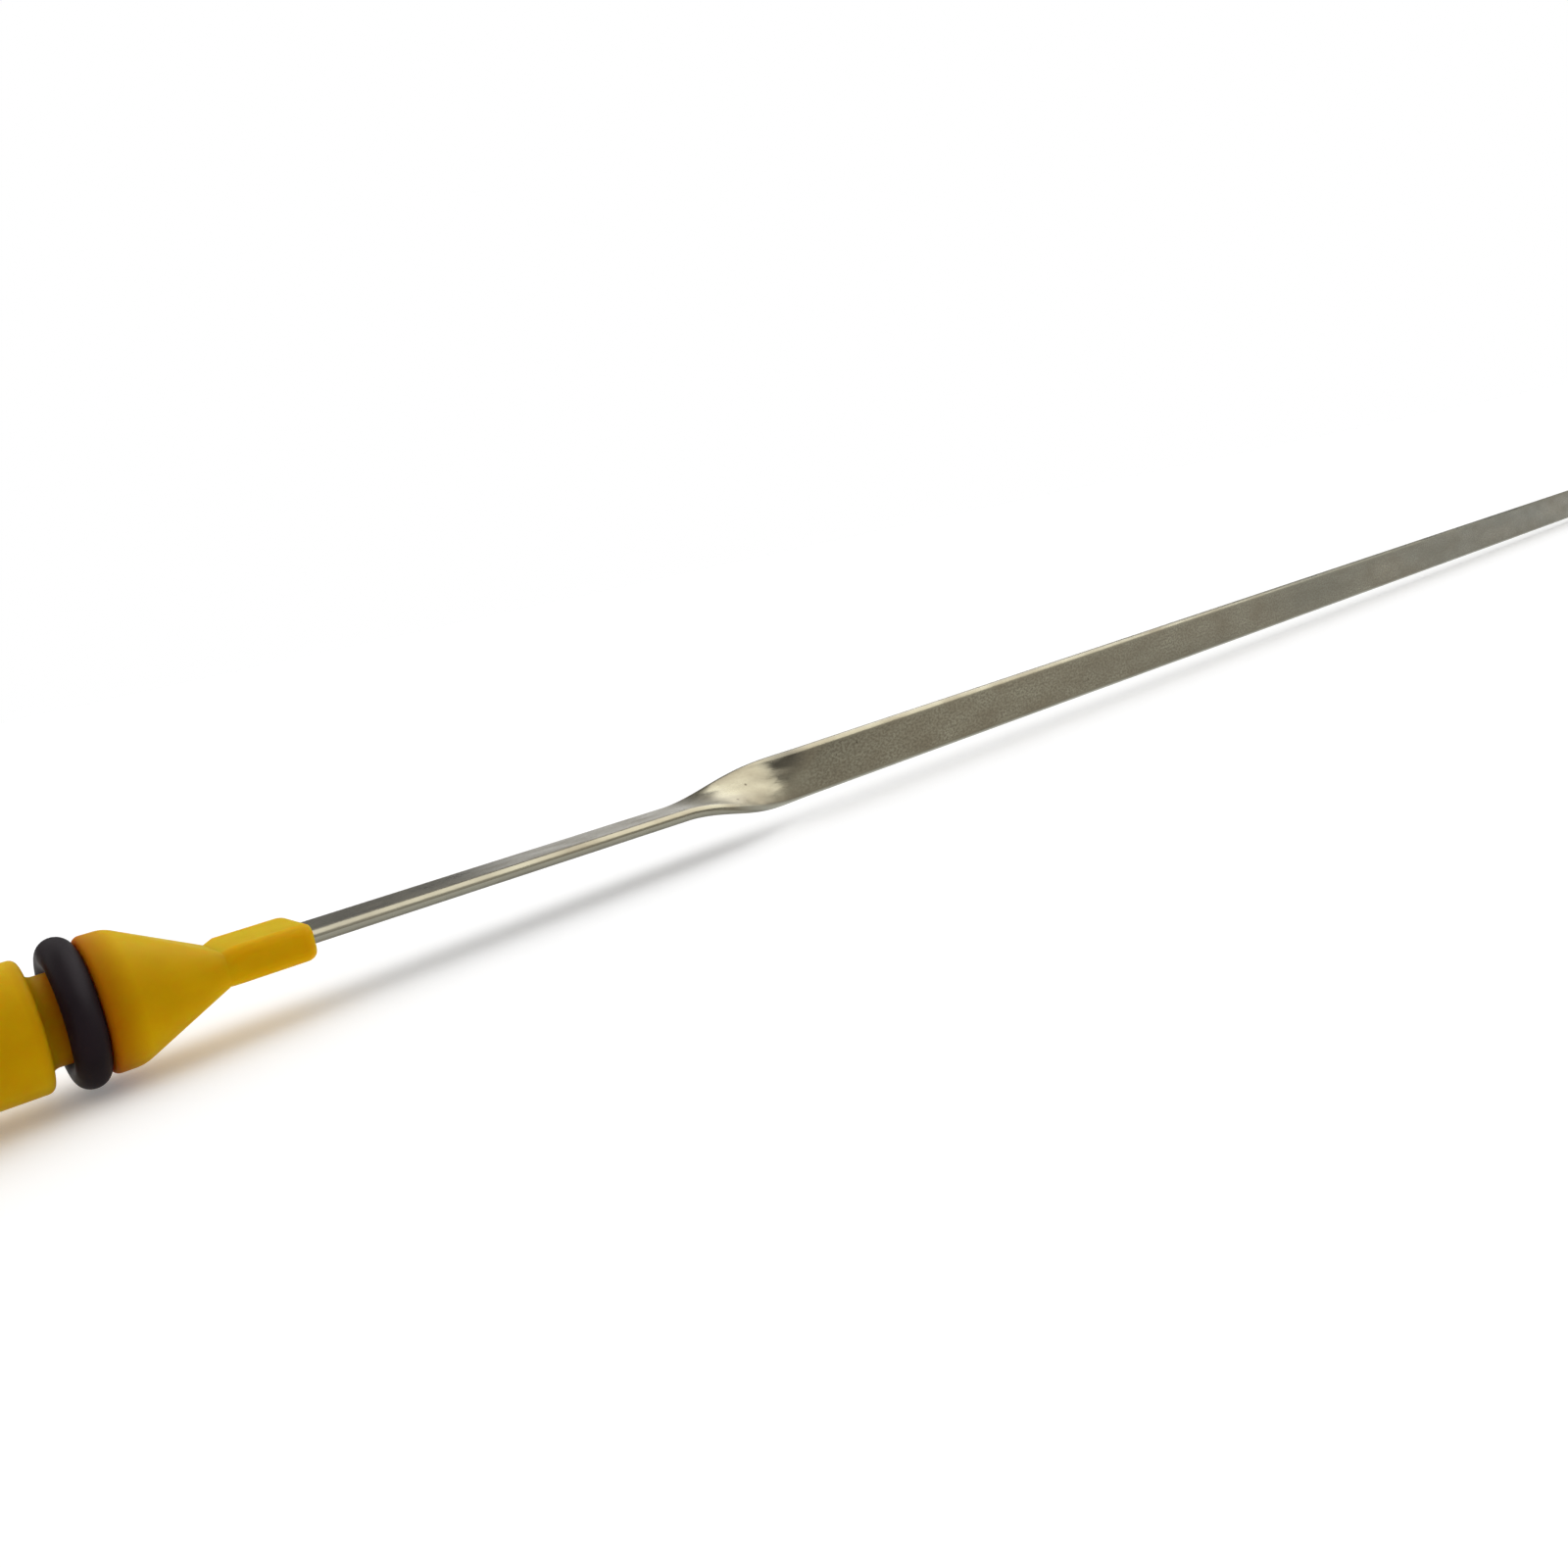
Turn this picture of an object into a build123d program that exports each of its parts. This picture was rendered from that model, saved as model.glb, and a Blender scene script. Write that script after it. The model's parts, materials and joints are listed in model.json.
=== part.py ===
from build123d import *
import math
import os

# An engine oil dipstick: a steel blade with a quarter-turn twist, moulded into a plastic handle
# whose plug carries a rubber O-ring and closes the mouth of the engine's guide tube.
# Sizes are in millimetres. The pieces are laid out along the plug's axis: X = 0 is the stop face
# that meets the tube's rim, +X runs to the blade's tip, and Z is square to the blade's wide face
# where it leaves the handle. At the end the whole is turned and lifted to lie on a table at Z = 0.

# Finger loop
loop_diameter = 30.0
loop_bar_width = 5.0
loop_thickness = 5.0
loop_bevel = 1.4
loop_stem_width = 9.0
loop_stem_length = 3.0
loop_root_radius = 4.0

# Stop flange, flat above and below, and the plug in front of it
flange_width = 16.0
flange_height = 12.0
flange_thickness = 2.5
flange_corner_radius = 3.5
flange_bevel = 0.4
shank_diameter = 9.4
shank_length = 8.0
land_diameter = 9.95
land_length = 2.0
plug_bevel = 0.35
land_shoulder_radius = 2.5

# Taper from the round land to the flat sleeve; the angle is the share of the land's circle, either side of its
# top and bottom, that runs into the flat faces
taper_length = 6.4
taper_face_angle = 8.0

# Flat sleeve that grips the blade; both are a little above the plug's axis, the blade more so
blade_offset = 0.3
sleeve_drop = 0.1
sleeve_length = 12.8
sleeve_side_wall = 1.1
sleeve_face_wall = 0.87
sleeve_step = 0.1
sleeve_edge_radius = 1.0
sleeve_mouth_radius = 0.75

# O-ring and its groove
ring_diameter = 10.8
ring_section = 2.3
ring_flat_depth = 0.15
ring_clearance = 0.03
groove_width = 3.5

# Blade
blade_reach = 410.0
blade_width = 5.0
blade_thickness = 1.1
blade_edge_radius = 0.5
flat_run = 34.7
twist_length = 16.0
twist_angle = 90.0
twist_sections = 13
blade_set_angle = 1.17

# Tang inside the handle, with the hole that the plastic fills to lock it
tang_cover = 1.0
lock_hole_diameter = 2.2
lock_hole_setback = 3.5

# Level holes near the tip
level_hole_diameter = 2.0
low_level_from_tip = 16.0
level_spacing = 22.0

# Places along the axis
groove_start = shank_length
groove_end = groove_start + groove_width
land_end = groove_end + land_length
taper_end = land_end + taper_length
sleeve_end = land_end + sleeve_length
tang_start = groove_end + tang_cover
twist_start = sleeve_end + flat_run
twist_end = twist_start + twist_length

# Sizes that follow from the pieces that fit together
ring_bore = ring_diameter - 2 * ring_section + 2 * ring_flat_depth
neck_diameter = ring_bore - 2 * ring_clearance
ring_middle = groove_end - ring_section / 2 - ring_clearance
sleeve_width = blade_width + 2 * sleeve_side_wall
sleeve_thickness = blade_thickness + 2 * sleeve_face_wall
sleeve_height = blade_offset - sleeve_drop
loop_middle = -(flange_thickness + loop_stem_length + loop_diameter / 2)


def twist_share(place):
    """How much of the twist is done at a place on the axis, easing in and out between 0 and 1."""
    share = min(max((place - twist_start) / twist_length, 0), 1)
    return share**2 * (3 - 2 * share)


def blade_height(place):
    """Height of the blade's middle over the plug's axis: its offset and the slight set that twisting left."""
    share = min(max((place - twist_start) / twist_length, 0), 1)
    eased_run = twist_length * (share**3 - share**4 / 2)
    straight_run = max(place - twist_end, 0)
    return blade_offset + math.tan(math.radians(blade_set_angle)) * (eased_run + straight_run)


def blade_plane(place):
    """Plane across the blade, its x along the blade's width and its normal towards the tip."""
    slope = math.radians(blade_set_angle) * twist_share(place)
    turn = math.radians(twist_angle) * twist_share(place)
    along = Vector(math.cos(slope), 0, math.sin(slope))
    upward = Vector(-math.sin(slope), 0, math.cos(slope))
    width = Vector(0, math.cos(turn), 0) + upward * math.sin(turn)
    return Plane(origin=(place, 0, blade_height(place)), x_dir=width, z_dir=along)


def blade_section(place):
    """The strip's section, a flat bar with rolled edges, at a place on the axis."""
    return blade_plane(place) * RectangleRounded(blade_width, blade_thickness, blade_edge_radius)


def blade_hole(place, diameter):
    """A round punch through the blade's wide face at a place on the axis."""
    across = blade_plane(place)
    punch = Plane(origin=across.origin, x_dir=across.x_dir, z_dir=across.y_dir)
    punch_length = 4 * blade_thickness
    return punch * Cylinder(diameter / 2, punch_length)


def make_blade():
    """Straight tang and flat run, the twist as a loft, and the long run on edge with its round tip."""
    flat_stretch = extrude(blade_section(tang_start), twist_start - tang_start)
    steps = [twist_start + twist_length * step / (twist_sections - 1) for step in range(twist_sections)]
    twist = loft([blade_section(place) for place in steps])
    edge_run = (blade_reach - twist_end) / math.cos(math.radians(blade_set_angle))
    edge_stretch = extrude(blade_section(twist_end), edge_run)

    far_plane = blade_plane(twist_end)
    plan = Plane(origin=far_plane.origin, x_dir=far_plane.z_dir, z_dir=far_plane.y_dir)
    slot_length = 2 * edge_run
    outline = plan * SlotOverall(slot_length, blade_width)
    edge_stretch = edge_stretch & extrude(outline, blade_thickness, both=True)

    blade = flat_stretch + twist + edge_stretch
    blade -= blade_hole(tang_start + lock_hole_setback, lock_hole_diameter)
    low_level = blade_reach - low_level_from_tip
    for level in (low_level, low_level - level_spacing):
        blade -= blade_hole(level, level_hole_diameter)
    return blade


def make_flange():
    """The stop on the tube's rim, a rounded plate whose flat underside the dipstick rests on."""
    back = Plane(origin=(-flange_thickness, 0, 0), x_dir=(0, 1, 0), z_dir=(1, 0, 0))
    outline = RectangleRounded(flange_width, flange_height, flange_corner_radius)
    plate = extrude(back * outline, flange_thickness)
    rims = plate.faces().sort_by(Axis.X)[0].edges() + plate.faces().sort_by(Axis.X)[-1].edges()
    return chamfer(rims, flange_bevel)


def make_plug():
    """The turned form of the handle: shank, groove and land."""
    corners = [
        (-flange_thickness / 2, 0),
        (-flange_thickness / 2, shank_diameter / 2),
        (groove_start - plug_bevel, shank_diameter / 2),
        (groove_start, shank_diameter / 2 - plug_bevel),
        (groove_start, neck_diameter / 2),
        (groove_end, neck_diameter / 2),
        (groove_end, land_diameter / 2 - plug_bevel),
        (groove_end + plug_bevel, land_diameter / 2),
        (land_end, land_diameter / 2),
        (land_end, 0),
    ]
    profile = make_face(Polyline(*corners, close=True))
    return revolve(profile, Axis.X)


def cross_plane(place, height):
    """Plane across the plug, its x sideways and its y up, at a place on the axis and a height over it."""
    return Plane(origin=(place, 0, height), x_dir=(0, 1, 0), z_dir=(1, 0, 0))


def land_sides():
    """The land's circle at its front end, in four arcs: long for the taper's sides, short for its faces."""
    radius = land_diameter / 2
    face = 2 * taper_face_angle
    side = 180 - face
    arcs = [
        CenterArc((0, 0), radius, -side / 2, side),
        CenterArc((0, 0), radius, side / 2, face),
        CenterArc((0, 0), radius, 180 - side / 2, side),
        CenterArc((0, 0), radius, 180 + side / 2, face),
    ]
    return [(cross_plane(land_end, 0) * arc).edge() for arc in arcs]


def tip_sides():
    """The taper's front end: flat above and below, full round at the sides, a small step inside the sleeve."""
    radius = sleeve_thickness / 2 - sleeve_step
    middle = sleeve_width / 2 - sleeve_step - radius
    sides = [
        CenterArc((middle, 0), radius, -90, 180),
        Line((middle, radius), (-middle, radius)),
        CenterArc((-middle, 0), radius, 90, 180),
        Line((-middle, -radius), (middle, -radius)),
    ]
    return [(cross_plane(taper_end, sleeve_height) * side).edge() for side in sides]


def make_taper():
    """Round at the land and flat at the sleeve: straight lines join each arc to a side of the tip."""
    back, front = land_sides(), tip_sides()
    skin = [Face.make_surface_from_curves(arc, side) for arc, side in zip(back, front)]
    ends = [Face(Wire(back)), Face(Wire(front))]
    return Solid(Shell(skin + ends))


def make_sleeve():
    """The flat bar round the blade, with rounded long edges and a rounded mouth."""
    outline = RectangleRounded(sleeve_width, sleeve_thickness, sleeve_edge_radius)
    bar = extrude(cross_plane(taper_end, sleeve_height) * outline, sleeve_end - taper_end)
    return fillet(bar.faces().sort_by(Axis.X)[-1].edges(), sleeve_mouth_radius)


def make_loop():
    """The finger loop and its stem, one flat outline with bevelled edges, in the plane of the blade's face."""
    stem_start = -flange_thickness / 2
    stem = Pos((stem_start + loop_middle) / 2, 0) * Rectangle(stem_start - loop_middle, loop_stem_width)
    outline = Pos(loop_middle, 0) * Circle(loop_diameter / 2) + stem
    roots = outline.vertices().sort_by(Axis.X)[:2]
    outline = fillet(roots, loop_root_radius)
    outline -= Pos(loop_middle, 0) * Circle(loop_diameter / 2 - loop_bar_width)
    loop = extrude(outline, loop_thickness / 2, both=True)
    rims = loop.faces().sort_by(Axis.Z)[0].edges() + loop.faces().sort_by(Axis.Z)[-1].edges()
    outside_flange = [edge for edge in rims if edge.center().X < -flange_thickness]
    return chamfer(outside_flange, loop_bevel)


def make_handle(blade):
    """The moulding: plug, taper, sleeve, flange and loop in one, with the room that the blade's tang fills."""
    front = make_plug() + make_taper()
    shoulder = front.edges().filter_by(Plane.YZ).filter_by_position(Axis.X, land_end, land_end)
    front = fillet(shoulder, land_shoulder_radius)
    return front + make_sleeve() + make_flange() + make_loop() - blade


def make_ring():
    """The O-ring, pushed against the groove's front wall, its section flattened where it hugs the neck."""
    section_middle = (ring_diameter - ring_section) / 2
    section = Pos(ring_middle, section_middle) * Circle(ring_section / 2)
    section -= Pos(ring_middle, 0) * Rectangle(2 * ring_section, ring_bore)
    return revolve(section, Axis.X)


def rest_pitch():
    """How far the axis falls towards the tip, in degrees, when the flange's underside and the tip touch the
    table: the flange holds the axis half its height up, and the tip stands on the blade's lower edge."""
    lean = math.radians(twist_angle)
    straight_width = (blade_width / 2 - blade_edge_radius) * math.sin(lean)
    straight_thickness = (blade_thickness / 2 - blade_edge_radius) * math.cos(lean)
    tip_drop = straight_width + straight_thickness + blade_edge_radius
    tip_place = blade_reach - blade_width / 2
    fall = flange_height / 2 + blade_height(tip_place) - tip_drop
    return math.degrees(math.atan(fall / (tip_place + flange_bevel)))


blade = make_blade()
pieces = {"handle": make_handle(blade), "o_ring": make_ring(), "blade": blade}

lying = Rot(Y=rest_pitch())
box = Compound(children=[lying * piece for piece in pieces.values()]).bounding_box()
place = Pos(-box.center().X, -box.center().Y, -box.min.Z) * lying

os.makedirs("parts", exist_ok=True)
for name, piece in pieces.items():
    export_step(place * piece, f"parts/{name}.step")
print(f"pitch {rest_pitch():.3f} deg, stop face at {tuple(place.position)}")
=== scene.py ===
import json
import math

import bpy
import numpy as np
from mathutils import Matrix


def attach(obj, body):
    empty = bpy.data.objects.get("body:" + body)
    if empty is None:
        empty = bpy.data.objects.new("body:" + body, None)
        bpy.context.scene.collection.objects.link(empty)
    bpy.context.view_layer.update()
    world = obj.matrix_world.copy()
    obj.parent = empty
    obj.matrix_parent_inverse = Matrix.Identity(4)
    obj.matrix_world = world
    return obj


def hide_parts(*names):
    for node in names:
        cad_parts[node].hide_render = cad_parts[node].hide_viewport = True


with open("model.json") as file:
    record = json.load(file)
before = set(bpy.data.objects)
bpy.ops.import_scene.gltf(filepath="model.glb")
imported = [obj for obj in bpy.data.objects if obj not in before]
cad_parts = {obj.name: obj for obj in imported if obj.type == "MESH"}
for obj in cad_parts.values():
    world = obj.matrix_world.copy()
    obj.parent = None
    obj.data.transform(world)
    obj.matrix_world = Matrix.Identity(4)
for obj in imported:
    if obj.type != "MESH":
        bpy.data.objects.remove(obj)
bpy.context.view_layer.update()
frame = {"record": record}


# How the dipstick lies
# The plug's stop face gives the place and direction of its axis. The pieces below are drawn along that
# axis in millimetres: x towards the blade's tip, y sideways and z up.
mounts = {mount["name"]: mount for mount in frame["record"]["mounts"]}
along = np.array(mounts["stop_face"]["axis"])
sideways = np.array((0.0, 1.0, 0.0))
upward = np.cross(along, sideways)

# The mount is to one side of the axis, so the axis takes only its x and z.
without_y = (1, 0, 1)
stop_middle = np.array(mounts["stop_face"]["pos_m"]) * without_y


def laid_out(x, y, z):
    """Drawn points, in millimetres, as points of the frame: the stop face's middle plus x, y and z along the
    plug's axis, sideways and upward, in metres."""
    drawn = np.stack(np.broadcast_arrays(x, y, z), axis=-1) / 1000
    return stop_middle + drawn @ np.stack([along, sideways, upward])


# Blade
# One strip of steel with rolled edges, cut to a round tip and punched with two level holes. It is twisted
# a quarter turn cold, which leaves it with a slight set.
blade_start = 12.5
blade_reach = 410.0
blade_width = 5.0
blade_thickness = 1.1
blade_edge_radius = 0.5
tip_edge_radius = 0.12
blade_offset = 0.3
twist_start = 61.0
twist_length = 16.0
twist_angle = math.radians(90)
set_angle = math.radians(1.17)
twist_end = twist_start + twist_length
level_hole_diameter = 2.0
level_hole_places = (372.0, 394.0)


def twist_share(x):
    """How much of the quarter turn is done at x: three times the square less twice the cube of the share of
    the twist that lies behind."""
    share = np.clip((x - twist_start) / twist_length, 0, 1)
    return share**2 * (3 - 2 * share)


def blade_height(x):
    """Height of the blade's middle at x: its offset, and the set's slope added up from the twist on."""
    share = np.clip((x - twist_start) / twist_length, 0, 1)
    sloping_run = twist_length * (share**3 - share**4 / 2) + np.maximum(x - twist_end, 0)
    return blade_offset + math.tan(set_angle) * sloping_run


def bar_outline(face_steps, side_steps, arc_steps):
    """Outline of a flat bar with round edges, anticlockwise from the top of its right side, in two arrays.
    core is the middle of the rounding in shares of the half sizes less the radius, and outward is the
    direction of the radius: a point is core times (half size less radius) plus outward times radius."""
    corners = np.array([(1, 1), (-1, 1), (-1, -1), (1, -1)], float)
    cores, directions = [], []
    for corner in range(4):
        angles = math.pi / 2 * (corner + np.linspace(0, 1, arc_steps + 1))
        cores.append(np.repeat(corners[corner : corner + 1], arc_steps + 1, axis=0))
        directions.append(np.stack([np.cos(angles), np.sin(angles)], axis=1))
        steps = face_steps if corner % 2 == 0 else side_steps
        share = np.linspace(0, 1, steps + 1)[1:-1, None]
        cores.append(corners[corner] * (1 - share) + corners[(corner + 1) % 4] * share)
        directions.append(np.repeat(directions[-1][-1:], steps - 1, axis=0))
    return np.concatenate(cores), np.concatenate(directions)


def grid_faces(rows, columns, looped):
    """Quads of a grid whose columns close into a ring. The rows close into a loop too, or the first and the
    last row are each filled by one face."""
    row = np.arange(rows if looped else rows - 1)[:, None] * columns
    next_row = (row + columns) % (rows * columns)
    column = np.arange(columns)
    next_column = (column + 1) % columns
    quads = np.stack([row + column, row + next_column, next_row + next_column, next_row + column], axis=-1)
    faces = quads.reshape(-1, 4).tolist()
    if not looped:
        faces += [column[::-1].tolist(), ((rows - 1) * columns + column).tolist()]
    return faces


def ring_mesh(name, points, looped=False):
    """A closed, smoothly shaded mesh from an array of rings of points."""
    rows, columns, _ = points.shape
    mesh = bpy.data.meshes.new(name)
    mesh.from_pydata(points.reshape(-1, 3).tolist(), [], grid_faces(rows, columns, looped))
    mesh.shade_smooth()
    piece = bpy.data.objects.new(name, mesh)
    bpy.context.scene.collection.objects.link(piece)
    return piece


def combine(piece, others, operation):
    """Join other solids to a piece, or cut them from it, and leave one plain mesh."""
    for other in others:
        boolean = piece.modifiers.new(operation, "BOOLEAN")
        boolean.object = other
        boolean.operation = operation
        boolean.solver = "EXACT"
    shaped = piece.evaluated_get(bpy.context.evaluated_depsgraph_get())
    finished = bpy.data.meshes.new_from_object(shaped)
    piece.modifiers.clear()
    piece.data = finished
    for other in others:
        bpy.data.objects.remove(other)


def crease(piece, angle):
    """Keep edges sharper than an angle crisp, and let the broad faces lead the shading of the rest."""
    piece.data.set_sharp_from_angle(angle=math.radians(angle))
    weighted = piece.modifiers.new("broad faces lead", "WEIGHTED_NORMAL")
    weighted.keep_sharp = True


# The rows are close together along the twist and the tip, and far apart on the straight runs. The tip's last
# row stops short of a right angle, so that it keeps a little width.
flat_rows = 12
twist_rows = 171
edge_rows = 60
tip_rows = 25
row_margin = 0.5
last_tip_angle = 88
tip_start = blade_reach - blade_width / 2
tip_turn = np.radians(np.linspace(0, last_tip_angle, tip_rows))[1:]
blade_rows = np.concatenate(
    [
        np.linspace(blade_start, twist_start - 2 * row_margin, flat_rows),
        np.linspace(twist_start - row_margin, twist_end + row_margin, twist_rows),
        np.linspace(twist_end + 2 * row_margin, tip_start, edge_rows),
        tip_start + blade_width / 2 * np.sin(tip_turn),
    ]
)
half_width = np.full(blade_rows.shape, blade_width / 2)
half_width[-tip_turn.size :] *= np.cos(tip_turn)
sharpens_from = tip_start - 1.0
sharp_from = tip_start + 0.5
edge_radius = np.interp(blade_rows, (sharpens_from, sharp_from), (blade_edge_radius, tip_edge_radius))

# Each section is the bar's outline, narrowed at the tip, turned by the twist and put on the middle line.
blade_core, blade_outward = bar_outline(face_steps=14, side_steps=2, arc_steps=8)
across = blade_core[:, 0] * np.maximum(half_width - edge_radius, 0)[:, None]
across += blade_outward[:, 0] * np.minimum(edge_radius, half_width)[:, None]
through = blade_core[:, 1] * (blade_thickness / 2 - edge_radius)[:, None]
through += blade_outward[:, 1] * edge_radius[:, None]
turn = (twist_angle * twist_share(blade_rows))[:, None]
slope = (set_angle * twist_share(blade_rows))[:, None]
lift = across * np.sin(turn) + through * np.cos(turn)
blade_points = laid_out(
    blade_rows[:, None] - lift * np.sin(slope),
    across * np.cos(turn) - through * np.sin(turn),
    blade_height(blade_rows)[:, None] + lift * np.cos(slope),
)
blade = ring_mesh("blade_strip", blade_points)

# The strip's own map: metres along it, and metres across it from its middle line, with its two faces apart.
face_gap = 0.02
strip_along = np.repeat(blade_rows / 1000, blade_core.shape[0])
strip_across = (across / 1000 + np.where(blade_core[:, 1] > 0, face_gap, -face_gap)).ravel()
strip_places = np.stack([strip_along, strip_across], axis=1).astype(np.float32)
face_corners = np.zeros(len(blade.data.loops), np.int32)
blade.data.loops.foreach_get("vertex_index", face_corners)
strip_map = blade.data.uv_layers.new(name="strip_map")
strip_map.uv.foreach_set("vector", strip_places[face_corners].ravel())


def hole_punch(x):
    """A round punch through the blade on edge at x: a circle drawn along and up, carried sideways."""
    sides = 48
    reach = 2.0
    radius = level_hole_diameter / 2
    angle = np.linspace(0, 2 * math.pi, sides + 1)[:-1]
    circle_x = x + radius * np.cos(angle)
    circle_z = blade_height(x) + radius * np.sin(angle)
    return ring_mesh("punch", laid_out(circle_x, np.array([[reach], [-reach]]), circle_z))


combine(blade, [hole_punch(x) for x in level_hole_places], "DIFFERENCE")
crease(blade, angle=35)


def put(tree, kind, sockets, **settings):
    """Add a node to a tree, and set its inputs, by a value or by a link from another node's output."""
    node = tree.nodes.new(kind)
    for name, value in settings.items():
        setattr(node, name, value)
    for name, value in sockets.items():
        if isinstance(value, bpy.types.NodeSocket):
            tree.links.new(value, node.inputs[name])
        else:
            node.inputs[name].default_value = value
    return node


def new_group(name, numbers):
    """A shader node group with a vector and named numbers as inputs, and a mask as its result."""
    group = bpy.data.node_groups.new(name, "ShaderNodeTree")
    group.interface.new_socket("Vector", in_out="INPUT", socket_type="NodeSocketVector")
    for number, value in numbers.items():
        socket = group.interface.new_socket(number, in_out="INPUT", socket_type="NodeSocketFloat")
        socket.default_value = value
    group.interface.new_socket("Mask", in_out="OUTPUT", socket_type="NodeSocketFloat")
    given = group.nodes.new("NodeGroupInput").outputs
    return group, given, group.nodes.new("NodeGroupOutput").inputs["Mask"]


def make_mottle():
    """Soft blotches: cloud noise, steepened about its middle by Contrast and held between 0 and 1."""
    group, given, result = new_group("mottle", {"Scale": 100.0, "Contrast": 2.0, "Detail": 4.0})
    cloud = put(group, "ShaderNodeTexNoise", {name: given[name] for name in ("Vector", "Scale", "Detail")})
    middle = 0.5
    centred = put(group, "ShaderNodeMath", {0: cloud.outputs[0], 1: middle}, operation="SUBTRACT")
    steepened = {0: centred.outputs[0], 1: given["Contrast"], 2: middle}
    mask = put(group, "ShaderNodeMath", steepened, operation="MULTIPLY_ADD", use_clamp=True)
    group.links.new(mask.outputs[0], result)
    return group


def make_specks():
    """Scattered specks: cell noise has one dot in each cell, Size is its radius in cells, and Share is how
    many of the cells show theirs."""
    group, given, result = new_group("specks", {"Scale": 500.0, "Size": 0.15, "Share": 0.2})
    cells = put(group, "ShaderNodeTexVoronoi", {"Vector": given["Vector"], "Scale": given["Scale"]})
    fading = {"Value": cells.outputs["Distance"], "From Min": given["Size"], "From Max": 0.0}
    dot = put(group, "ShaderNodeMapRange", fading)
    lot = put(group, "ShaderNodeSeparateColor", {"Color": cells.outputs["Color"]})
    shown = put(group, "ShaderNodeMath", {0: lot.outputs[0], 1: given["Share"]}, operation="LESS_THAN")
    mask = put(group, "ShaderNodeMath", {0: dot.outputs[0], 1: shown.outputs[0]}, operation="MULTIPLY")
    group.links.new(mask.outputs[0], result)
    return group


def make_mark():
    """One mark: an ellipse of a Length and a Width about a place Along and Across the map, 1 at its middle
    and falling evenly to 0 at its rim."""
    sizes = {"Along": 0.0, "Across": 0.0, "Length": 0.001, "Width": 0.001}
    group, given, result = new_group("mark", sizes)
    middle = put(group, "ShaderNodeCombineXYZ", {"X": given["Along"], "Y": given["Across"]})
    reach = put(group, "ShaderNodeCombineXYZ", {"X": given["Length"], "Y": given["Width"], "Z": 1.0})
    offset = {0: given["Vector"], 1: middle.outputs[0]}
    away = put(group, "ShaderNodeVectorMath", offset, operation="SUBTRACT")
    shares = {0: away.outputs[0], 1: reach.outputs[0]}
    away = put(group, "ShaderNodeVectorMath", shares, operation="DIVIDE")
    distance = put(group, "ShaderNodeVectorMath", {0: away.outputs[0]}, operation="LENGTH")
    rim = 0.5
    fading = {"Value": distance.outputs["Value"], "From Min": rim, "From Max": 0.0}
    group.links.new(put(group, "ShaderNodeMapRange", fading).outputs[0], result)
    return group


mottle = make_mottle()
specks = make_specks()
mark = make_mark()
unstretched = (1, 1, 1)


def masked(tree, group, vector, stretch, numbers):
    """The mask of a pattern group that is placed in a material, with its coordinates stretched for each axis
    and its numbers set."""
    stretched = put(tree, "ShaderNodeMapping", {"Vector": vector, "Scale": stretch})
    node = put(tree, "ShaderNodeGroup", {}, node_tree=group)
    tree.links.new(stretched.outputs[0], node.inputs["Vector"])
    for number, value in numbers.items():
        node.inputs[number].default_value = value
    return node.outputs["Mask"]


def mixed(tree, mask, first, second):
    """A colour between two colours, or links to colours, by a mask."""
    return put(tree, "ShaderNodeMix", {0: mask, 6: first, 7: second}, data_type="RGBA").outputs[2]


def ranged(tree, value, start, end, low, high):
    """A value carried evenly from the range start to end to the range low to high, and held at its ends."""
    sockets = {"Value": value, "From Min": start, "From Max": end, "To Min": low, "To Max": high}
    return put(tree, "ShaderNodeMapRange", sockets).outputs[0]


def product(tree, first, second):
    """Two masks multiplied."""
    return put(tree, "ShaderNodeMath", {0: first, 1: second}, operation="MULTIPLY").outputs[0]


def larger(tree, first, second):
    """The larger of two masks."""
    return put(tree, "ShaderNodeMath", {0: first, 1: second}, operation="MAXIMUM").outputs[0]


def apart(tree, value, place):
    """How far a value is from a place, on either side of it."""
    difference = put(tree, "ShaderNodeMath", {0: value, 1: place}, operation="SUBTRACT").outputs[0]
    return put(tree, "ShaderNodeMath", {0: difference}, operation="ABSOLUTE").outputs[0]


def new_finish(name):
    """A material, its node tree and its Principled shader."""
    finish = bpy.data.materials.new(name)
    finish.use_nodes = True
    return finish, finish.node_tree, finish.node_tree.nodes["Principled BSDF"]


def face_mark(tree, vector, place, side, length, width):
    """A mark on the blade's near face, in millimetres: its place along the strip, how far to a side of the
    middle line it is, and its length and width."""
    middle = {"Along": place / 1000, "Across": side / 1000 + face_gap}
    size = {"Length": length / 1000, "Width": width / 1000}
    return masked(tree, mark, vector, unstretched, middle | size)


# Rolled steel: brownish and greenish stains, freckles, fine grain along the strip and tiny pits. Painted
# shade darkens it beside the sleeve, a painted reflection of the white table brightens its lower edge, and
# the twist is slightly wrinkled, with painted shade in its folds, and has a darker patch at its end.
clean_steel = (0.24, 0.224, 0.161, 1)
stained_steel = (0.176, 0.154, 0.106, 1)
green_steel = (0.134, 0.142, 0.112, 1)
sleeve_shade_steel = (0.18, 0.172, 0.135, 1)
freckle_colour = (0.12, 0.105, 0.075, 1)
dark_steel = (0.06, 0.055, 0.045, 1)
pit_colour = (0.04, 0.03, 0.02, 1)
table_reflection_steel = (0.44, 0.44, 0.37, 1)
steel, tree, shader = new_finish("rolled_steel")
strip = put(tree, "ShaderNodeUVMap", {}, uv_map="strip_map").outputs[0]
strip_place, strip_side, _ = put(tree, "ShaderNodeSeparateXYZ", {"Vector": strip}).outputs
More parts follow.
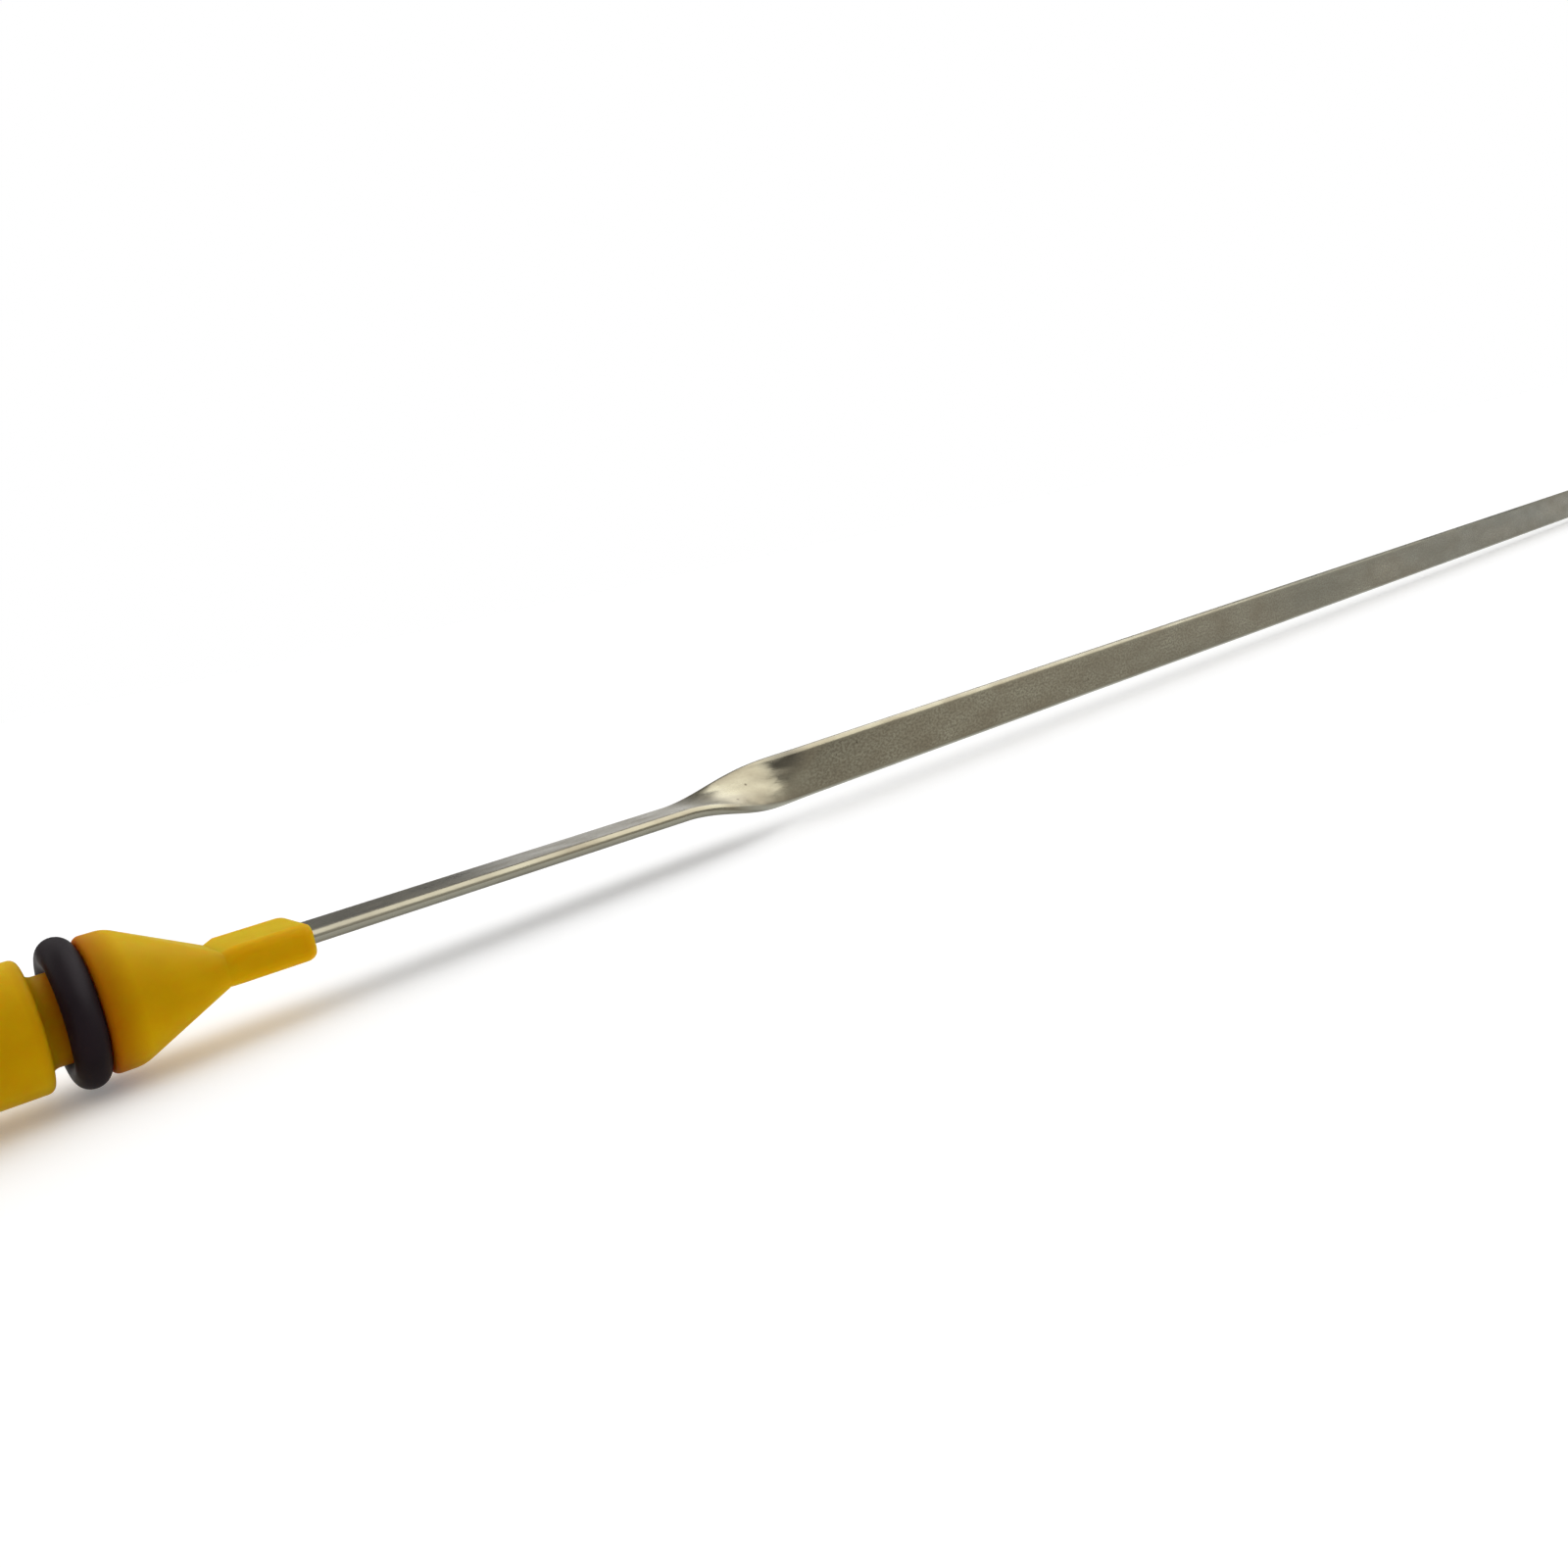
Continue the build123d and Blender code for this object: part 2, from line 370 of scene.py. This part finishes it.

# Stains, and painted shade beside the sleeve. The greenish stain comes up along the far stretch. The painted
# shade ends before the twist.
stain = masked(tree, mottle, strip, stretch=(0.45, 1, 1), numbers={"Scale": 420.0, "Contrast": 3.0})
haze = masked(tree, mottle, strip, stretch=(0.3, 1, 1), numbers={"Scale": 160.0, "Contrast": 2.5})
greening = product(tree, ranged(tree, strip_place, start=0.10, end=0.24, low=0, high=1), haze)
# Painted shade: the steel is darkened beside the sleeve, fading out before the twist.
painted_sleeve_shade = ranged(tree, strip_place, start=0.026, end=0.056, low=0.75, high=0)
# A darker patch on the near face at the twist's end.
twist_dark_patch = face_mark(tree, strip, place=74.6, side=1.9, length=6.4, width=4.0)
dark_patch = ranged(tree, twist_dark_patch, start=0, end=0.7, low=0, high=0.6)

# Pits: scattered ones all over, and four on the near face at places of their own.
pits = masked(tree, specks, strip, unstretched, numbers={"Scale": 450.0, "Size": 0.07, "Share": 0.06})
pit_diameter = 0.35
pit_places = ((84.0, 1.15), (67.4, -1.3), (69.5, 0.4), (121.9, -0.7))
for place, side in pit_places:
    pit = face_mark(tree, strip, place, side, length=pit_diameter, width=pit_diameter)
    pits = larger(tree, pits, pit)

# Wrinkles where the twist has worked the strip, painted darker too as painted shade in their folds. Freckles
# on its flat faces, fainter there, and a duller tone on its rolled edges.
painted_fold_shade = 0.75
fold_numbers = {"Scale": 700.0, "Contrast": 1.5, "Detail": 0.5}
folds = masked(tree, mottle, strip, stretch=(0.6, 1, 1), numbers=fold_numbers)
worked = face_mark(tree, strip, place=70.0, side=0.0, length=17.0, width=14.0)
wrinkles = product(tree, folds, worked)
freckles = masked(tree, mottle, strip, stretch=(0.7, 1, 1), numbers={"Scale": 4200.0, "Contrast": 4.5})
face_reach = 0.0018
edge_reach = 0.0021
off_middle = apart(tree, apart(tree, strip_side, 0.0), face_gap)
on_edges = ranged(tree, off_middle, face_reach, edge_reach, low=0, high=0.3)
on_faces = ranged(tree, off_middle, face_reach, edge_reach, low=0.8, high=0)
off_twist = ranged(tree, worked, start=0, end=0.5, low=1, high=0.2)
freckled = product(tree, product(tree, freckles, on_faces), off_twist)

# The painted reflection of the white table on the lower edge: the far face's lower side, and past the twist
# the near face's lower rim.
lower_side = ranged(tree, strip_side, start=-face_gap - 0.0019, end=-face_gap - 0.0023, low=0, high=0.35)
near_face = ranged(tree, strip_side, start=0, end=face_gap / 2, low=0, high=1)
lower_rim = ranged(tree, strip_side, start=face_gap - 0.0021, end=face_gap - 0.0024, low=0, high=1)
past_twist = ranged(tree, strip_place, start=0.066, end=0.073, low=0, high=1)
near_rim = product(tree, product(tree, lower_rim, near_face), past_twist)
painted_table_reflection = larger(tree, lower_side, near_rim)

tone = mixed(tree, stain, clean_steel, stained_steel)
tone = mixed(tree, greening, tone, green_steel)
tone = mixed(tree, painted_sleeve_shade, tone, sleeve_shade_steel)
tone = mixed(tree, freckled, tone, freckle_colour)
tone = mixed(tree, on_edges, tone, freckle_colour)
# Painted shade: the wrinkles' folds are darkened toward the freckle colour.
tone = mixed(tree, product(tree, wrinkles, painted_fold_shade), tone, freckle_colour)
# Painted reflection: the lower edge is lightened as if mirroring the white table.
tone = mixed(tree, painted_table_reflection, tone, table_reflection_steel)
tone = mixed(tree, dark_patch, tone, dark_steel)
tone = mixed(tree, pits, tone, pit_colour)
tree.links.new(tone, shader.inputs["Base Color"])
tree.links.new(ranged(tree, stain, start=0, end=1, low=0.26, high=0.4), shader.inputs["Roughness"])

# The relief: wrinkles, and over them the fine grain, with the pits sunk into it.
pit_relief = -2.0
grain = masked(tree, mottle, strip, stretch=(0.12, 1, 1), numbers={"Scale": 9000.0, "Contrast": 2.0})
wrinkled = put(tree, "ShaderNodeBump", {"Height": wrinkles, "Strength": 1.0, "Distance": 0.00018})
relief = put(tree, "ShaderNodeMath", {0: pits, 1: pit_relief, 2: grain}, operation="MULTIPLY_ADD")
fine = {"Height": relief.outputs[0], "Strength": 0.25, "Distance": 0.00002, "Normal": wrinkled.outputs[0]}
bump = put(tree, "ShaderNodeBump", fine)
tree.links.new(bump.outputs[0], shader.inputs["Normal"])
shader.inputs["Metallic"].default_value = 1.0

blade.data.materials.append(steel)
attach(blade, "root")
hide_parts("blade")


# Handle
# One moulding in yellow plastic, cast straight onto the blade's tang: finger loop, stop flange, the plug with
# its groove, a taper from round to flat, and the sleeve that grips the blade. Its edges are rounded as the
# mould's are.
shank_radius = 4.7
shank_straight_end = 7.0
neck_radius = 3.22
land_radius = 4.975
groove_start = 8.0
groove_end = 11.5
land_end = 13.5
plug_edge_radius = 0.5
groove_root_radius = 0.6
shoulder_reach = 0.55
taper_end = 19.9
taper_edge_radius = 1.26
taper_tip_height = 0.05
sleeve_end = 26.3
sleeve_width = 7.2
sleeve_thickness = 2.84
sleeve_height = 0.2
sleeve_step = 0.1
sleeve_edge_radius = 1.0
sleeve_root_reach = 0.8
mouth_reach = 0.9
mouth_side_inset = 1.0
mouth_face_inset = 0.5
flange_width = 16.0
flange_height = 12.0
flange_thickness = 2.5
flange_corner_radius = 3.5
flange_edge_radius = 0.6
loop_radius = 15.0
loop_hole_radius = 10.0
loop_thickness = 5.0
loop_edge_radius = 2.2
loop_middle = -20.5
stem_half_width = 4.5
stem_end_middle = -3.0
stem_root_radius = 4.0


def arc(middle, radius, start, end, steps):
    """Points on an arc about a middle, from one angle in degrees to another."""
    angle = np.radians(np.linspace(start, end, steps))[:, None]
    return np.array(middle) + radius * np.concatenate([np.cos(angle), np.sin(angle)], axis=1)


def soft_max(first, second, blend):
    """The larger of two, with the crease between them filled to a curve where they differ by under blend."""
    near = np.maximum(blend - np.abs(first - second), 0)
    return np.maximum(first, second) + near**2 / (4 * blend)


# Every ring of the body has the same columns, those of a flat bar with round edges. On the turned rings they
# point as those of a bar that is nearly round, whose core has only a small width and height.
small_core = (0.14, 0.07)
body_core, body_outward = bar_outline(face_steps=8, side_steps=4, arc_steps=26)
nearly_round = body_core * small_core + body_outward
spoke = nearly_round / np.linalg.norm(nearly_round, axis=1, keepdims=True)


def round_rings(x, radius):
    """Rings of a turned form: at each place x, the columns' directions times the radius."""
    return np.stack(np.broadcast_arrays(x, radius * spoke[:, 0], radius * spoke[:, 1]), axis=-1)


def bar_rings(x, width, thickness, radius, height):
    """Rings of a flat bar with round edges: its outline at each place x, raised over the axis by a height."""
    y = body_core[:, 0] * (width / 2 - radius) + body_outward[:, 0] * radius
    z = body_core[:, 1] * (thickness / 2 - radius) + body_outward[:, 1] * radius + height
    return np.stack(np.broadcast_arrays(x, y, z), axis=-1)


# The turned profile, as places along the axis and radii: shank, groove and land.
shank_rows = 5
shank_from = (-flange_thickness / 2, shank_radius)
shank_to = (shank_straight_end, shank_radius)
shank_edge_middle = (groove_start - plug_edge_radius, shank_radius - plug_edge_radius)
groove_root_middle = (groove_start + groove_root_radius, neck_radius + groove_root_radius)
land_edge_middle = (groove_end + plug_edge_radius, land_radius - plug_edge_radius)
profile = np.concatenate(
    [
        np.linspace(shank_from, shank_to, shank_rows),
        arc(shank_edge_middle, plug_edge_radius, start=90, end=0, steps=8),
        arc(groove_root_middle, groove_root_radius, start=180, end=270, steps=7),
        [(groove_end, neck_radius)],
        arc(land_edge_middle, plug_edge_radius, start=180, end=90, steps=8),
    ]
)
turned = round_rings(profile[:, :1], profile[:, 1:])

# The taper runs straight from the land's circle to a flat tip, and eases in over the shoulder.
taper_rows = 64
taper_x = np.linspace(land_end - shoulder_reach, taper_end, taper_rows)[:, None]
taper_length = taper_end - land_end
tip_share = soft_max(0, (taper_x - land_end) / taper_length, shoulder_reach / taper_length)[..., None]
tip_width = sleeve_width - 2 * sleeve_step
tip_thickness = sleeve_thickness - 2 * sleeve_step
tip = bar_rings(taper_x, tip_width, tip_thickness, taper_edge_radius, taper_tip_height)
taper = (1 - tip_share) * round_rings(taper_x, land_radius) + tip_share * tip

# The sleeve is a little higher than that rounder tip, and rises a small step over it. Its mouth is drawn in,
# more at the sides than at the faces, and inside it the blade's room runs back to the tang's end.
mouth_rows = 9
mouth_turn = np.radians(np.linspace(0, 90, mouth_rows))[:, None]
mouth_x = sleeve_end - mouth_reach * (1 - np.sin(mouth_turn))
sleeve_x = np.concatenate([[[taper_end + sleeve_root_reach]], mouth_x])
drawn_in = np.concatenate([[[0.0]], 1 - np.cos(mouth_turn)])
sleeve = bar_rings(
    sleeve_x,
    sleeve_width - 2 * mouth_side_inset * drawn_in,
    sleeve_thickness - 2 * mouth_face_inset * drawn_in,
    sleeve_edge_radius - mouth_face_inset * drawn_in,
    sleeve_height,
)
room_x = np.array([[sleeve_end], [blade_start]])
room = bar_rings(room_x, blade_width, blade_thickness, blade_edge_radius, blade_offset)
body = np.concatenate([turned, taper, sleeve, room])
handle = ring_mesh("handle_moulding", laid_out(*np.moveaxis(body, -1, 0)))

# The flange is a rounded plate whose outline is inset round both rims.
rim_rows = 7
rim_turn = np.radians(np.linspace(0, 90, rim_rows))
rim_inset = flange_edge_radius * (1 - np.sin(rim_turn))
rim_rise = flange_edge_radius * (1 - np.cos(rim_turn))
flange_x = np.concatenate([rim_rise - flange_thickness, -rim_rise[::-1]])[:, None]
corner = flange_corner_radius - np.concatenate([rim_inset, rim_inset[::-1]])[:, None]
flange_core, flange_outward = bar_outline(face_steps=4, side_steps=4, arc_steps=12)
flange = ring_mesh(
    "flange",
    laid_out(
        flange_x,
        flange_core[:, 0] * (flange_width / 2 - flange_corner_radius) + flange_outward[:, 0] * corner,
        flange_core[:, 1] * (flange_height / 2 - flange_corner_radius) + flange_outward[:, 1] * corner,
    ),
)

# The loop's outline, clockwise from above: the stem's rounded end inside the flange, and on each side the
# stem's edge, the root's arc and half of the ring. Each point has its direction out of the plastic.
root_y = stem_half_width + stem_root_radius
root_x = loop_middle + math.sqrt((loop_radius + stem_root_radius) ** 2 - root_y**2)
ring_from = math.degrees(math.atan2(root_y, root_x - loop_middle))
stem_end = arc((0, 0), radius=1, start=0, end=90, steps=9)
root = arc((0, 0), radius=1, start=270, end=180 + ring_from, steps=13)
ring = arc((0, 0), radius=1, start=ring_from, end=180, steps=61)[1:]
upper_points = np.concatenate(
    [
        (stem_end_middle, 0) + stem_half_width * stem_end,
        (root_x, root_y) + stem_root_radius * root,
        (loop_middle, 0) + loop_radius * ring,
    ]
)
upper_facing = np.concatenate([stem_end, -root, ring])
mirror = np.array((1, -1))
outline = np.concatenate([upper_points, (upper_points * mirror)[-2:0:-1]])[::-1]
facing = np.concatenate([upper_facing, (upper_facing * mirror)[-2:0:-1]])[::-1]

# The bar's section is carried round it, from that outline to the hole's circle.
from_middle = outline - (loop_middle, 0)
radial = from_middle / np.linalg.norm(from_middle, axis=1, keepdims=True)
outer_core = outline - loop_edge_radius * facing
inner_core = (loop_middle, 0) + (loop_hole_radius + loop_edge_radius) * radial
loop_core, loop_outward = bar_outline(face_steps=4, side_steps=2, arc_steps=10)
outer_share = (1 + loop_core[:, :1]) / 2
rounding = np.maximum(loop_outward[:, :1], 0) * facing[:, None]
rounding += np.minimum(loop_outward[:, :1], 0) * radial[:, None]
plan = outer_share * outer_core[:, None] + (1 - outer_share) * inner_core[:, None]
plan += loop_edge_radius * rounding
loop_z = loop_core[:, 1] * (loop_thickness / 2 - loop_edge_radius) + loop_outward[:, 1] * loop_edge_radius
loop = ring_mesh("loop", laid_out(plan[..., 0], plan[..., 1], loop_z), looped=True)

combine(handle, [flange, loop], "UNION")
crease(handle, angle=32)

# Yellow plastic: satin, faintly blotched, with fine mould grain and a little dust. Painted shade of the
# O-ring darkens it about the ring's place, from the groove out to the land and to the shank's edge.
lit_yellow = (0.65, 0.41, 0.003, 1)
deep_yellow = (0.59, 0.335, 0.002, 1)
ring_shade_yellow = (0.32, 0.055, 0.001, 1)
dust_colour = (0.60, 0.42, 0.03, 1)
ring_shade_offset = 0.8
yellow, tree, shader = new_finish("yellow_plastic")
spot = put(tree, "ShaderNodeTexCoord", {}).outputs["Object"]
blotch = masked(tree, mottle, spot, unstretched, numbers={"Scale": 260.0, "Contrast": 2.0})
grain = masked(tree, mottle, spot, unstretched, numbers={"Scale": 4500.0, "Contrast": 2.0})
dust = masked(tree, specks, spot, unstretched, numbers={"Scale": 900.0, "Size": 0.12, "Share": 0.05})
spot_place = put(tree, "ShaderNodeSeparateXYZ", {"Vector": spot}).outputs[0]
# Painted shade: a darker orange band about the O-ring's groove, where the ring shades the plastic.
ring_shade_place = laid_out((groove_start + groove_end) / 2 + ring_shade_offset, 0, 0)[0]
from_ring_shade = apart(tree, spot_place, float(ring_shade_place))
painted_ring_shade = ranged(tree, from_ring_shade, start=0.001, end=0.0033, low=0.85, high=0)
tone = mixed(tree, blotch, lit_yellow, deep_yellow)
tone = mixed(tree, painted_ring_shade, tone, ring_shade_yellow)
tone = mixed(tree, dust, tone, dust_colour)
tree.links.new(tone, shader.inputs["Base Color"])
tree.links.new(ranged(tree, blotch, start=0, end=1, low=0.45, high=0.55), shader.inputs["Roughness"])
bump = put(tree, "ShaderNodeBump", {"Height": grain, "Strength": 0.2, "Distance": 0.00003})
tree.links.new(bump.outputs[0], shader.inputs["Normal"])
shader.inputs["Specular IOR Level"].default_value = 0.04
shader.inputs["Specular Tint"].default_value = (1.0, 0.75, 0.1, 1)
shader.inputs["Subsurface Weight"].default_value = 1.0
shader.inputs["Subsurface Radius"].default_value = (1.0, 0.25, 0.03)
shader.inputs["Subsurface Scale"].default_value = 0.003

handle.data.materials.append(yellow)
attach(handle, "root")
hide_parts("handle")


# O-ring
# A moulded ring of black rubber, sprung into the groove and pushed against the land in front of it.
# Its round section is flattened where it hugs the neck.
ring_middle = 10.32
ring_middle_radius = 4.25
ring_section_radius = 1.15
ring_bore_radius = 3.25
ring_rows = 144
section_columns = 40
ring_turn = np.radians(np.linspace(360, 0, ring_rows + 1)[:-1])[:, None]
section_turn = np.radians(np.linspace(0, 360, section_columns + 1)[:-1])
ring_radius = np.maximum(ring_middle_radius + ring_section_radius * np.cos(section_turn), ring_bore_radius)
o_ring = ring_mesh(
    "o_ring_rubber",
    laid_out(
        ring_middle + ring_section_radius * np.sin(section_turn),
        ring_radius * np.cos(ring_turn),
        ring_radius * np.sin(ring_turn),
    ),
    looped=True,
)
crease(o_ring, angle=40)

# Black rubber with a purple cast, semi-matt, with a greyish bloom.
fresh_rubber = (0.006, 0.002, 0.004, 1)
bloomed_rubber = (0.011, 0.005, 0.008, 1)
rubber, tree, shader = new_finish("black_rubber")
spot = put(tree, "ShaderNodeTexCoord", {}).outputs["Object"]
bloom = masked(tree, mottle, spot, unstretched, numbers={"Scale": 500.0, "Contrast": 2.5})
grain = masked(tree, mottle, spot, unstretched, numbers={"Scale": 6000.0, "Contrast": 2.0})
tree.links.new(mixed(tree, bloom, fresh_rubber, bloomed_rubber), shader.inputs["Base Color"])
tree.links.new(ranged(tree, bloom, start=0, end=1, low=0.45, high=0.6), shader.inputs["Roughness"])
shader.inputs["Specular IOR Level"].default_value = 0.1
bump = put(tree, "ShaderNodeBump", {"Height": grain, "Strength": 0.2, "Distance": 0.00002})
tree.links.new(bump.outputs[0], shader.inputs["Normal"])

o_ring.data.materials.append(rubber)
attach(o_ring, "root")
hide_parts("o_ring")


# Table, studio light and camera
# A white table under a white dome, brightest overhead and dim at the front. The steel also mirrors a softbox
# over its right side, a low light behind it and dark flags. The camera stands where the photo's stood.
def card(name, corners):
    """A flat sheet of the studio from its four corners."""
    mesh = bpy.data.meshes.new(name)
    mesh.from_pydata(corners, [], [(0, 1, 2, 3)])
    sheet = bpy.data.objects.new(name, mesh)
    bpy.context.scene.collection.objects.link(sheet)
    return sheet


def seen_rays(tree):
    """1 for rays that show a surface, straight or in metal or glass, and 0 for rays that only light it."""
    path = put(tree, "ShaderNodeLightPath", {}).outputs
    mirrored = larger(tree, path["Is Glossy Ray"], path["Is Transmission Ray"])
    return larger(tree, path["Is Camera Ray"], mirrored)


table_corners = [(-8, -8, 0), (8, -8, 0), (8, 8, 0), (-8, 8, 0)]
table = card("table", table_corners)
white, tree, shader = new_finish("white_table")
shader.inputs["Base Color"].default_value = (0.9, 0.9, 0.9, 1)
shader.inputs["Roughness"].default_value = 0.9
shader.inputs["Specular IOR Level"].default_value = 0.0
shader.inputs["Emission Color"].default_value = (1, 1, 1, 1)
shader.inputs["Emission Strength"].default_value = 0.2
table.data.materials.append(white)


def mirrored_card(name, corners, strength):
    """A bright or dark patch of the room that only mirrored rays meet: it neither lights nor shades."""
    sheet = card(name, corners)
    sheet.visible_camera = False
    sheet.visible_diffuse = False
    sheet.visible_shadow = False
    sheet.visible_transmission = False
    finish, tree, shader = new_finish(name)
    shader.inputs["Base Color"].default_value = (0, 0, 0, 1)
    shader.inputs["Specular IOR Level"].default_value = 0.0
    shader.inputs["Emission Color"].default_value = (1, 1, 1, 1)
    shader.inputs["Emission Strength"].default_value = strength
    sheet.data.materials.append(finish)


softbox = [(-0.06, 0.21, 0.67), (0.38, 0.42, 0.36), (0.33, -0.53, 0.07), (-0.2, -0.55, 0.42)]
mirrored_card("softbox", softbox, strength=3.9)
low_light = [(0.07, 0.45, 0.01), (0.33, 0.45, 0.01), (0.33, 0.45, 0.1), (0.07, 0.45, 0.1)]
mirrored_card("low_light", low_light, strength=1.5)
back_flag = [(-0.6, 0.44, 0.0), (0.05, 0.44, 0.0), (0.05, 0.44, 0.2), (-0.6, 0.44, 0.2)]
mirrored_card("back_flag", back_flag, strength=0.15)
far_flag = [(0.42, 0.45, 0.0), (1.9, 0.45, 0.0), (1.9, 0.45, 0.7), (0.42, 0.45, 0.7)]
mirrored_card("far_flag", far_flag, strength=0.15)
top_flag = [(0.12, 0.298, 0.176), (0.022, 0.356, 0.176), (-0.053, 0.212, 0.361), (0.03, 0.209, 0.336)]
mirrored_card("top_flag", top_flag, strength=0.0)
right_flag = [(0.33, -0.06, 0.0), (0.33, 0.3, 0.0), (0.33, 0.3, 0.27), (0.33, -0.06, 0.27)]
mirrored_card("right_flag", right_flag, strength=0.35)
side_flag = [(-0.105, -0.033, 0.0005), (-0.075, -0.033, 0.0005), (-0.045, -0.118, 0.05), (-0.1, -0.118, 0.05)]
mirrored_card("side_flag", side_flag, strength=0.1)

# The dome is shaped for the rays that only light a surface, and shown plain white to all others.
shown_strength = 1.0
world = bpy.data.worlds.new("white_studio")
bpy.context.scene.world = world
world.use_nodes = True
tree = world.node_tree
background = tree.nodes["Background"]
background.inputs["Color"].default_value = (1, 1, 1, 1)
room_place = put(tree, "ShaderNodeTexCoord", {}).outputs["Generated"]
_, room_depth, room_height = put(tree, "ShaderNodeSeparateXYZ", {"Vector": room_place}).outputs
overhead = ranged(tree, room_height, start=0, end=1, low=0.2, high=1.55)
away_from_front = ranged(tree, room_depth, start=-0.9, end=-0.2, low=0.1, high=1)
dome = product(tree, overhead, away_from_front)
shown = put(tree, "ShaderNodeMix", {0: seen_rays(tree), 2: dome, 3: shown_strength}, data_type="FLOAT")
tree.links.new(shown.outputs[0], background.inputs["Strength"])

view = bpy.data.cameras.new("camera")
view.lens = 29.5955
view.sensor_width = 36
view.sensor_fit = "HORIZONTAL"
view.clip_start = 0.005
camera = bpy.data.objects.new("camera", view)
camera.location = (-0.18859, -0.098975, 0.026085)
camera_turn = (79.6616, 12.0445, -39.508)
camera.rotation_euler = [math.radians(degrees) for degrees in camera_turn]
bpy.context.scene.collection.objects.link(camera)
bpy.context.scene.camera = camera
bpy.context.scene.view_settings.view_transform = "Standard"
